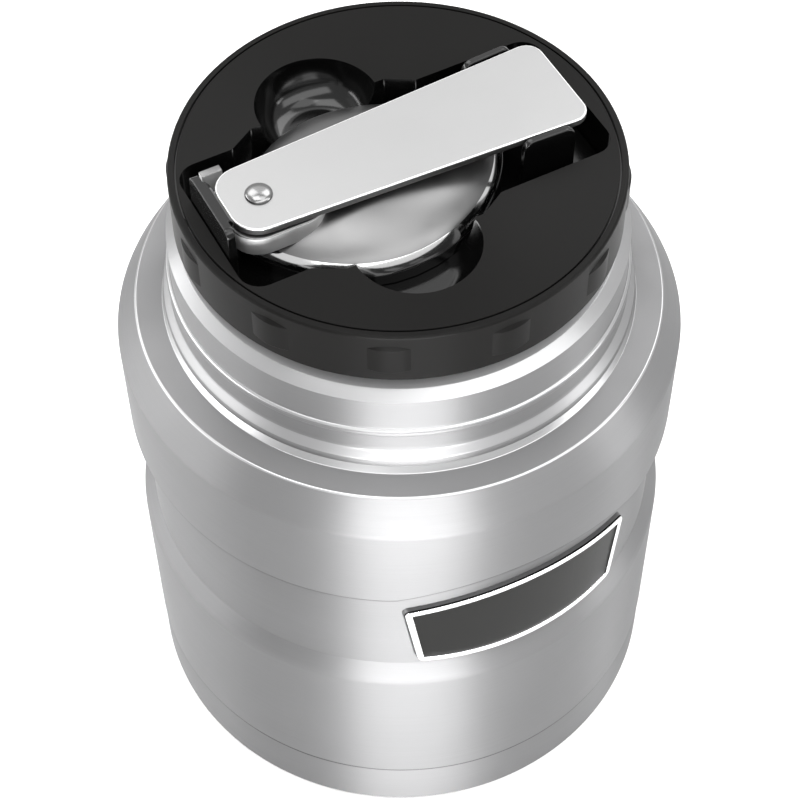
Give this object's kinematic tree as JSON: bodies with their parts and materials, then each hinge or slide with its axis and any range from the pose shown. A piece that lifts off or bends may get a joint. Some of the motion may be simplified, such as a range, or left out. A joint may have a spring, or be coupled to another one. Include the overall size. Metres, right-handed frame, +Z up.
{
  "type": "insulated food jar",
  "caption": "Vacuum insulated steel food jar with a recessed waist, a screw stopper with raised grip pads, and a folding spoon clipped in the stopper's pocket.",
  "frame": {"origin": "centre of the jar's base, on the plane of its foot ring", "axes": "+Z up along the jar's axis, -Y towards the badge, +X towards the free end of the stowed spoon handle"},
  "size_m": [0.094, 0.094, 0.1298],
  "materials": {
    "body_steel": "satin, fine lines running round the body",
    "flask_steel": "bright rolled steel",
    "copper_foil": "bright foil",
    "badge_bright": "polished",
    "badge_dark": "satin, no lettering",
    "gasket_silicone": "matte silicone",
    "stopper_black": "fine satin grain",
    "pocket_black": "smooth moulded",
    "foam": "closed-cell foam",
    "spoon_polished": "polished stainless steel",
    "spoon_satin": "satin, brushed along the handle, no lettering"
  },
  "bodies": {
    "jar": {"outer_shell": "body_steel", "shell_neck": "body_steel", "inner_flask": "flask_steel", "base_cup": "body_steel", "vacuum_base": "flask_steel", "vacuum_plug": "flask_steel", "getter": "flask_steel", "heat_shield": "copper_foil", "badge_frame": "badge_bright", "badge_inlay": "badge_dark"},
    "seal": {"seal_gasket": "gasket_silicone"},
    "stopper": {"stopper_top": "stopper_black", "stopper_plug": "stopper_black", "stopper_foam": "foam", "plug_cover": "stopper_black", "spoon_cradle": "pocket_black", "clip_front": "pocket_black", "clip_back": "pocket_black", "end_hook": "pocket_black"},
    "spoon": {"spoon_bowl": "spoon_polished", "spoon_rivet": "spoon_polished", "spoon_washer": "spoon_satin"},
    "handle": {"spoon_handle": "spoon_satin"}
  },
  "joints": [
    {"name": "stopper_rise", "type": "slide", "parent": "jar", "child": "seal", "axis": [0, 0, 1], "range_m": [0, 0.03]},
    {"name": "stopper_turn", "type": "hinge", "parent": "seal", "child": "stopper", "pos_m": [0, 0, 0.11], "axis": [0, 0, 1], "range_deg": [0, 1800]},
    {"name": "spoon_lift", "type": "slide", "parent": "stopper", "child": "spoon", "axis": [0, 0, 1], "range_m": [0, 0.04], "deforming": ["clip_front", "clip_back", "end_hook"]},
    {"name": "spoon_fold", "type": "hinge", "parent": "spoon", "child": "handle", "pos_m": [-0.0235, 0, 0.1272], "axis": [0, 0, -1], "range_deg": [0, 180]}
  ],
  "couplings": [
    {"joint": "stopper_rise", "follows": "stopper_turn", "m_per_rad": 0.00095493}
  ]
}
